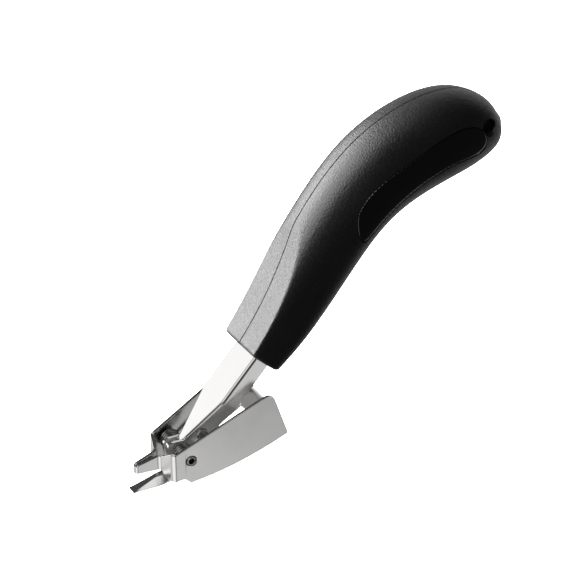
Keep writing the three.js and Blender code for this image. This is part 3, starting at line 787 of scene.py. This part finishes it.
def pivot_pin():
    """A rolled spring pin: a C-shaped tube with chamfered ends."""
    gap = math.asin(PIN_SLIT / 2 / PIN_RADIUS)
    turn = np.linspace(gap, 2 * math.pi - gap, 64)
    chamfer = [(0, 1.62, 1.32), (0.1, 1.72, 1.22), (0.9, PIN_RADIUS, PIN_BORE)]
    stations = [(from_end - PIN_HALF, radius, bore) for from_end, radius, bore in chamfer]
    stations += [(PIN_HALF - from_end, radius, bore) for from_end, radius, bore in reversed(chamfer)]
    rings = []
    for y, radius, bore in stations:
        outer = [(radius * math.cos(a), y, radius * math.sin(a)) for a in turn]
        inner = [(bore * math.cos(a), y, bore * math.sin(a)) for a in turn[::-1]]
        rings.append(outer + inner)
    return smooth(lofted("pivot_pin_visual", rings), 40)


def screw(name, at, seat):
    """A pan-head screw with a cross recess and rolled threads."""
    under = seat + HEAD_GAP
    top = under + HEAD_HEIGHT
    profile = [(0.3, -7.6), (0.8, -7.2)]
    y = -6.8
    while y < under - 1.2:
        profile += [(SCREW_RADIUS - 0.28, y), (SCREW_RADIUS, y + 0.22), (SCREW_RADIUS - 0.28, y + 0.44)]
        y += 0.9
    profile += [(SCREW_RADIUS - 0.1, under - 0.1), (HEAD_RADIUS, under), (HEAD_RADIUS, under + 0.7)]
    profile += [(HEAD_RADIUS - 1.6 + 1.6 * math.cos(a), top - 1.1 + 1.1 * math.sin(a))
                for a in np.linspace(0.15, math.pi / 2, 7)]
    body = turned(name + "_visual", at, profile)
    x, z = at
    corners = ((-1, -1), (1, -1), (1, 1), (-1, 1))
    for along, up in ((1.55, 0.34), (0.34, 1.55)):
        slot = [[(x + i * along * shrink, y, z + k * up * shrink) for i, k in corners]
                for y, shrink in ((top - 1.2, 0.55), (top + 0.3, 1.0))]
        combine(body, lofted("slot", slot))
    return smooth(body, 32)


def return_spring(side):
    """Half of the double torsion spring: outer leg, coil, and half of the bridge."""
    turns = np.linspace(OUTER_END, BRIDGE_START, 200)
    y = COIL_START + (BRIDGE_START - turns) / (2 * math.pi) * COIL_PITCH
    coil = np.stack([COIL_RADIUS * np.cos(turns), y, COIL_RADIUS * np.sin(turns)], 1)
    leg = [(36, LEG_Y, 12.8), (20, LEG_Y, 5.5), (7, LEG_Y, -0.4), (4.4, LEG_Y, -1.6)]
    bearing = SHAFT_LOW - WIRE - 0.3
    bridge = []
    for x, across, drop in ((6.5, COIL_START, 0.3), (14, COIL_START, 0), (15.1, COIL_START - 0.7, 0),
                            (15.5, COIL_START - 1.8, 0), (15.5, 0.02, 0)):
        along, rise = to_sole(x, bearing - drop)
        bridge.append((along, across, rise))
    leg_path = resample(spline(leg + [coil[0]], np.linspace(0, 4, 60)), count=40)
    bridge_path = resample(np.array([coil[-1]] + bridge), count=40)
    path = np.concatenate([leg_path[:-1], coil, bridge_path[1:]])
    eased = 201  # from here to the end, the coil runs into the bridge without a kink
    for _ in range(2):
        path[eased:-1] = (path[eased - 1:-2] + 2 * path[eased:-1] + path[eased + 1:]) / 4
    path = path * [1, side, 1]
    tangent = np.gradient(path, axis=0)
    tangent /= np.linalg.norm(tangent, axis=1)[:, None]
    normal = np.cross(tangent[0], [0, 1, 0])
    rings, sides = [], 12
    for point, direction in zip(path, tangent):
        normal = normal - direction * (normal @ direction)
        normal /= np.linalg.norm(normal)
        other = np.cross(direction, normal)
        rings.append([point + WIRE * (math.cos(a) * normal + math.sin(a) * other)
                      for a in np.arange(sides) * 2 * math.pi / sides])
    name = ("right" if side > 0 else "left") + "_spring_half"
    return smooth(lofted(name, rings), 50)


# ---- assembly ----
matte, gloss = grained_plastic(), gloss_plastic()
shoe_steel = nickel_steel("nickel_plated_shoe", (60, 300, 4200))
lever_steel = nickel_steel("nickel_plated_lever", (50, 3600, 900))
zinc, wire = zinc_steel(), spring_steel()

shaft = settle(lever_shaft(), LEVER, lever_steel, "nickel_steel", "lever", "lever_shaft")
pieces = [
    settle(handle_shell(-1), LEVER, matte, "handle_plastic", "lever", "left_handle_shell"),
    settle(handle_shell(1), LEVER, matte, "handle_plastic", "lever", "right_handle_shell"),
    settle(grip_inlay(-1), LEVER, gloss, "inlay_plastic", "lever", "left_grip_inlay"),
    settle(grip_inlay(1), LEVER, gloss, "inlay_plastic", "lever", "right_grip_inlay"),
    shaft,
    settle(lower_jaw(), SOLE, lever_steel, "nickel_steel", "lever", "lower_jaw"),
    settle(jaw_rivet(), LEVER, zinc, "zinc_steel", "lever", "jaw_rivet"),
    settle(pivot_pin(), SOLE, zinc, "zinc_steel", "shoe", "pivot_pin"),
    settle(shoe(), SOLE, shoe_steel, "nickel_steel", "shoe", "shoe"),
]
for screw_name, (screw_at, screw_seat) in SCREWS.items():
    fastener = screw(screw_name, screw_at, screw_seat)
    pieces.append(settle(fastener, LEVER, zinc, "zinc_steel", "lever", screw_name))

for spring_side in (-1, 1):
    spring_half = settle(return_spring(spring_side), SOLE, wire, "spring_steel", None, "return_spring")
    pieces.append(spring_half)
    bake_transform(spring_half)

# ---- stage, light and camera ----
CAMERA_AZIMUTH, CAMERA_ELEVATION, CAMERA_ROLL = 1.57, 38.2, -51.76  # degrees
CAMERA_DISTANCE, CAMERA_LENS = 1.0, 167.4  # metres, millimetres
AIM_RIGHT, AIM_UP = 0.0409, 0.0596  # of the picture's centre from the pivot, in metres
MIDDLE = (0, 0, 0.02)
ROOM = 0.06  # brightness of the unlit room
WORLD_PANELS = [
    # direction from the tool, cosines of its angle at the edge and at full brightness, brightness
    ((-0.35, 0.72, 0.60), 0.86, 0.95, 1.2),
    ((0.0, -0.25, 0.97), 0.90, 0.96, 1.1),
    ((-0.85, -0.5, 0.15), 0.84, 0.95, 1.1),
    ((-0.75, 0.65, 0.0), 0.6, 0.9, 0.65),
    ((0.7, 0.65, -0.3), 0.78, 0.9, 0.75),
]


def floor():
    """A pale floor that only the camera sees, so that it shades and tints nothing."""
    half = 3.0
    corners = [(-half, -half, 0), (half, -half, 0), (half, half, 0), (-half, half, 0)]
    obj = mesh_object("floor", corners, [(0, 1, 2, 3)])
    material, nodes, links, shader, place = new_material("pale_floor")
    grain = noise(nodes, links, place, 40, 3, 0.5)
    links.new(tint(nodes, links, grain, (0.86, 0.86, 0.86), (0.9, 0.9, 0.9)), shader.inputs["Base Color"])
    shader.inputs["Roughness"].default_value = 0.9
    obj.data.materials.append(material)
    obj.visible_glossy = False
    obj.visible_diffuse = False
    obj.visible_shadow = False
    return obj


def smooth_ramp(nodes, links, value, start, end):
    """0 where value is below start, 1 above end, and smooth between."""
    remap = nodes.new("ShaderNodeMapRange")
    remap.interpolation_type = "SMOOTHSTEP"
    remap.inputs["From Min"].default_value = start
    remap.inputs["From Max"].default_value = end
    links.new(value, remap.inputs["Value"])
    return remap.outputs["Result"]


def studio_world():
    """A dim room with a few broad soft panels, given as directions from the tool and their brightness."""
    world = bpy.data.worlds.new("studio")
    bpy.context.scene.world = world
    world.use_nodes = True
    nodes, links = world.node_tree.nodes, world.node_tree.links
    place = nodes.new("ShaderNodeTexCoord").outputs["Generated"]
    total = None
    for direction, edge, core, brightness in WORLD_PANELS:
        facing = nodes.new("ShaderNodeVectorMath")
        facing.operation = "DOT_PRODUCT"
        facing.inputs[1].default_value = Vector(direction).normalized()
        links.new(place, facing.inputs[0])
        add = nodes.new("ShaderNodeMath")
        add.operation = "MULTIPLY_ADD"
        links.new(smooth_ramp(nodes, links, facing.outputs["Value"], edge, core), add.inputs[0])
        add.inputs[1].default_value = brightness
        if total:
            links.new(total, add.inputs[2])
        else:
            add.inputs[2].default_value = ROOM
        total = add.outputs["Value"]
    links.new(total, nodes["Background"].inputs["Strength"])
    nodes["Background"].inputs["Color"].default_value = (1, 1, 1, 1)


def light_group(name, pieces):
    """A collection that holds the pieces which some lights are kept to."""
    group = bpy.data.collections.new(name)
    for piece in pieces:
        group.objects.link(piece)
    return group


def softbox(name, direction, distance, size, brightness, target, receivers, blockers=None):
    """A rectangular light that faces target from a direction and lights only the receivers.

    Only the blockers, where they are given, cast its shadows.
    """
    light = bpy.data.lights.new(name, "AREA")
    light.shape = "RECTANGLE"
    light.size, light.size_y = size
    light.energy = brightness * math.pi * size[0] * size[1]
    obj = bpy.data.objects.new(name, light)
    toward = Vector(direction).normalized()
    obj.location = Vector(target) + toward * distance
    obj.rotation_euler = (-toward).to_track_quat("-Z", "Y").to_euler()
    obj.visible_camera = False
    obj.light_linking.receiver_collection = receivers
    obj.light_linking.blocker_collection = blockers
    bpy.context.scene.collection.objects.link(obj)


def camera():
    azimuth, elevation, roll = (math.radians(a) for a in (CAMERA_AZIMUTH, CAMERA_ELEVATION, CAMERA_ROLL))
    level = Vector((math.cos(azimuth), math.sin(azimuth), 0))
    outward = Vector((math.sin(azimuth), -math.cos(azimuth), 0))
    back = outward * math.cos(elevation) + Vector((0, 0, math.sin(elevation)))
    rise = back.cross(level)
    right = level * math.cos(roll) + rise * math.sin(roll)
    up = rise * math.cos(roll) - level * math.sin(roll)
    data = bpy.data.cameras.new("camera")
    data.lens = CAMERA_LENS
    data.clip_start = 0.05
    obj = bpy.data.objects.new("camera", data)
    place = PIVOT + right * AIM_RIGHT + up * AIM_UP + back * CAMERA_DISTANCE
    obj.matrix_world = Matrix.Translation(place) @ Matrix((right, up, back)).transposed().to_4x4()
    bpy.context.scene.collection.objects.link(obj)
    bpy.context.scene.camera = obj


plastics = light_group("plastics", [p for p in pieces if p.data.materials[0] in (matte, gloss)])
shaft_only = light_group("shaft_only", [shaft])
plastic_or_shaft = set(plastics.objects) | {shaft}
metals = light_group("metals", [p for p in pieces if p not in plastic_or_shaft])
floors = light_group("floors", [floor()])
studio_world()
softbox("back_box", (-0.28, 0.74, 0.62), 1.6, (2.1, 1.2), 11.5, MIDDLE, plastics)
softbox("top_box", (-0.05, 0.05, 1), 1.3, (1.5, 0.9), 6.5, MIDDLE, plastics)
softbox("belly_box", (0.1, 0.35, -0.94), 1.0, (1.4, 0.8), 0.7, MIDDLE, plastics)
softbox("front_bounce", (-0.05, -0.78, -0.6), 0.9, (0.9, 0.6), 0.42, PIVOT, metals)
softbox("beak_bounce", (-0.5, -0.76, -0.52), 0.3, (0.2, 0.2), 0.22, PIVOT, metals)
softbox("right_card", (0.5, -0.85, -0.08), 0.9, (0.8, 0.7), 0.95, PIVOT, metals)
softbox("shaft_bounce", (-0.15, -0.75, -0.62), 0.9, (1.1, 0.7), 0.68, PIVOT, shaft_only, plastics)
softbox("floor_wash", (0, 0.2, 1), 2.0, (3, 3), 12, (0, 0, 0), floors, floors)
camera()
bpy.context.scene.view_settings.view_transform = "Standard"
